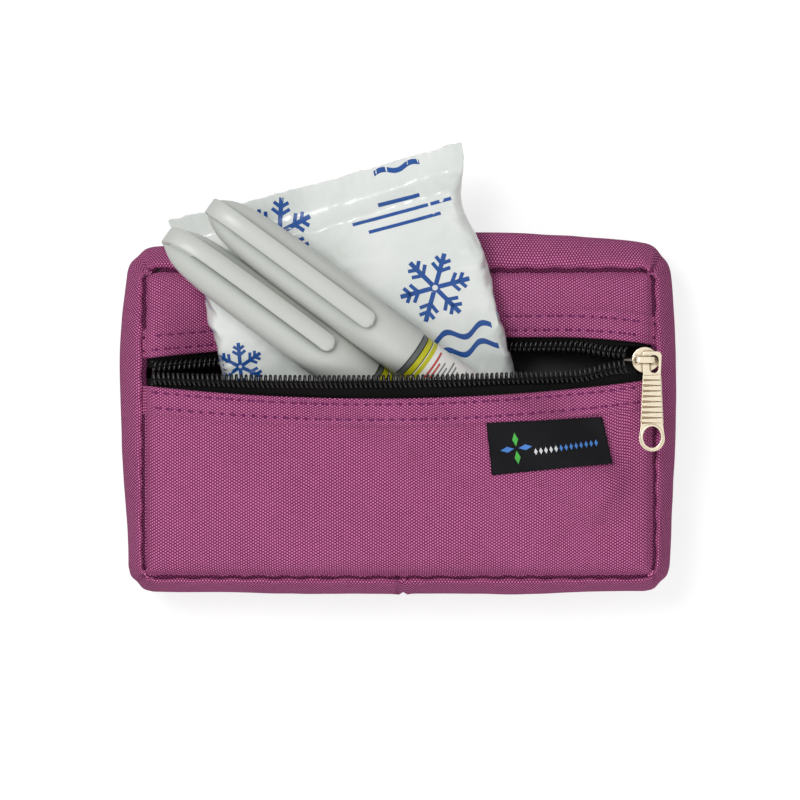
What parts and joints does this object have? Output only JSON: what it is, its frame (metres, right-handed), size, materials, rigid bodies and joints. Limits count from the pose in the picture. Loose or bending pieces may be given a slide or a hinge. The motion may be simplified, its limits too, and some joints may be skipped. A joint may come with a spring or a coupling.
{
  "type": "insulin cooling case",
  "caption": "Soft insulated zip case, open, with a film cold pack and capped injection pens that slide out; the zip slider runs, the dose dials turn and the buttons press.",
  "frame": {"origin": "centre of the outer face of the flat back panel, on which the case lies", "axes": "+X along the zip towards its slider, +Y from the bottom of the case to its top, +Z out of its front"},
  "size_m": [0.1789, 0.1457, 0.0653],
  "materials": {
    "cloth": "plum woven nylon canvas",
    "foam": "closed cell foam",
    "lining": "coated black lining",
    "zip_tape": "black woven tape",
    "zip_coil": "black nylon",
    "woven_label": "plain black satin weave",
    "nickel": "warm satin nickel",
    "pack_film": "glossy white film",
    "gel": "pale blue gel",
    "cap_plastic": "light grey satin",
    "dark_plastic": "dark grey satin",
    "olive_plastic": "olive satin",
    "pen_label": "white film label",
    "clear_plastic": "clear",
    "glass": "clear glass",
    "grey_rubber": "matt"
  },
  "bodies": {
    "case": {"back_cloth": "cloth", "back_foam": "foam", "back_lining": "lining", "band_cloth": "cloth", "band_foam": "foam", "band_lining": "lining", "lower_cloth": "cloth", "lower_foam": "foam", "lower_lining": "lining", "upper_cloth": "cloth", "upper_foam": "foam", "upper_lining": "lining", "lower_tape": "zip_tape", "lower_coil": "zip_coil", "lower_coil_end": "zip_coil", "upper_tape": "zip_tape", "upper_coil": "zip_coil", "upper_coil_end": "zip_coil", "woven_label": "woven_label"},
    "slider": {"slider_body": "nickel", "slider_bail": "nickel"},
    "pull": {"pull_tab": "nickel"},
    "cold_pack": {"pack_film_front": "pack_film", "pack_film_back": "pack_film", "pack_gel": "gel"},
    "left_pen": {"left_pen_barrel": "dark_plastic", "left_pen_band": "olive_plastic", "left_pen_label": "pen_label", "left_pen_holder": "clear_plastic", "left_pen_cartridge": "glass", "left_pen_stopper": "grey_rubber", "left_pen_rod": "dark_plastic"},
    "left_pen_cap": {"left_pen_cap": "cap_plastic"},
    "left_pen_dial": {"left_pen_dial": "dark_plastic", "left_pen_drum": "pen_label"},
    "left_pen_button": {"left_pen_button": "olive_plastic"},
    "right_pen": {"right_pen_barrel": "dark_plastic", "right_pen_band": "olive_plastic", "right_pen_label": "pen_label", "right_pen_holder": "clear_plastic", "right_pen_cartridge": "glass", "right_pen_stopper": "grey_rubber", "right_pen_rod": "dark_plastic"},
    "right_pen_cap": {"right_pen_cap": "cap_plastic"},
    "right_pen_dial": {"right_pen_dial": "dark_plastic", "right_pen_drum": "pen_label"},
    "right_pen_button": {"right_pen_button": "olive_plastic"}
  },
  "joints": [
    {"name": "zip_slide", "type": "slide", "parent": "case", "child": "slider", "axis": [-0.9703, 0, 0.2419], "range_m": [0, 0.014], "deforming": ["lower_coil_end", "upper_coil_end"]},
    {"name": "pull_swing", "type": "hinge", "parent": "slider", "child": "pull", "pos_m": [0.0816, 0.0174, 0.0428], "axis": [0, 0, 1], "range_deg": [0, 175]},
    {"name": "pack_slide", "type": "slide", "parent": "case", "child": "cold_pack", "axis": [-0.2544, 0.9494, 0.184], "range_m": [0, 0.085]},
    {"name": "left_pen_slide", "type": "slide", "parent": "case", "child": "left_pen", "axis": [-0.7948, 0.5881, 0.1495], "range_m": [0, 0.09]},
    {"name": "left_pen_cap_pull", "type": "slide", "parent": "left_pen", "child": "left_pen_cap", "axis": [-0.7948, 0.5881, 0.1495], "range_m": [0, 0.065]},
    {"name": "left_pen_dial_turn", "type": "hinge", "parent": "left_pen", "child": "left_pen_dial", "pos_m": [-0.011, 0.01023, 0.04101], "axis": [-0.7948, 0.5881, 0.1495], "range_deg": [0, 1080]},
    {"name": "left_pen_button_press", "type": "slide", "parent": "left_pen_dial", "child": "left_pen_button", "axis": [-0.7948, 0.5881, 0.1495], "range_m": [0, 0.0022], "stiffness_N_per_m": 300, "springref_m": -0.001},
    {"name": "right_pen_slide", "type": "slide", "parent": "case", "child": "right_pen", "axis": [-0.7948, 0.5881, 0.1495], "range_m": [0, 0.09]},
    {"name": "right_pen_cap_pull", "type": "slide", "parent": "right_pen", "child": "right_pen_cap", "axis": [-0.7948, 0.5881, 0.1495], "range_m": [0, 0.065]},
    {"name": "right_pen_dial_turn", "type": "hinge", "parent": "right_pen", "child": "right_pen_dial", "pos_m": [0.0031, 0.0197, 0.04575], "axis": [-0.7948, 0.5881, 0.1495], "range_deg": [0, 1080]},
    {"name": "right_pen_button_press", "type": "slide", "parent": "right_pen_dial", "child": "right_pen_button", "axis": [-0.7948, 0.5881, 0.1495], "range_m": [0, 0.0022], "stiffness_N_per_m": 300, "springref_m": -0.001}
  ]
}
